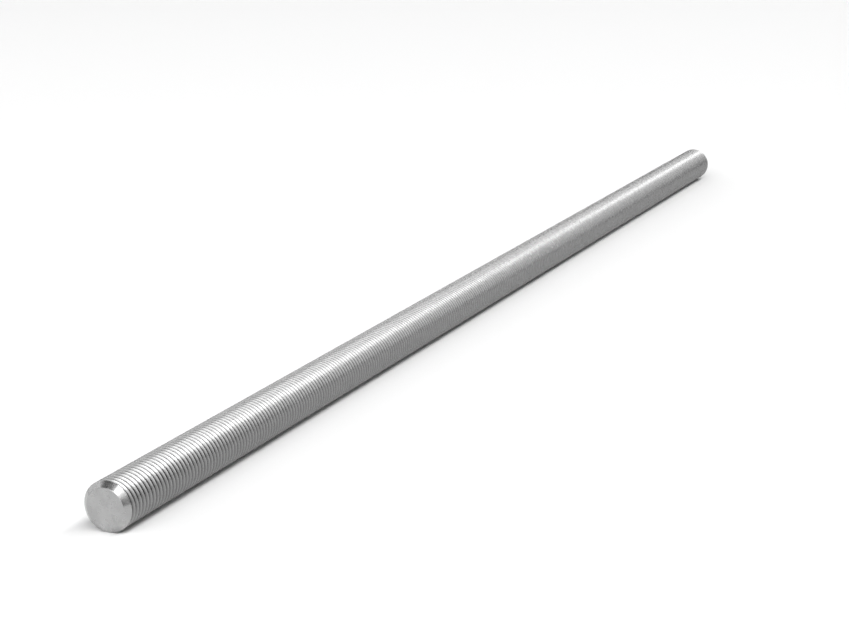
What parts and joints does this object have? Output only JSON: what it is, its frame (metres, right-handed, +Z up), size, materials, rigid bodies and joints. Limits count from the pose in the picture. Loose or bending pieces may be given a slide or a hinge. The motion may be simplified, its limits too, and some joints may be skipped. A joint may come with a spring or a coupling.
{
  "type": "threaded rod",
  "caption": "Straight steel rod with a fine V-shaped screw thread along its whole length and a chamfer at each end, lying on its side.",
  "frame": {"origin": "on the rod's axis, halfway along it", "axes": "+X along the rod's axis, +Z up"},
  "size_m": [1, 0.0254, 0.0254],
  "materials": {
    "bright_steel": "bright rolled thread with turned end faces"
  },
  "bodies": {
    "root": {"threaded_rod": "bright_steel"}
  },
  "joints": []
}
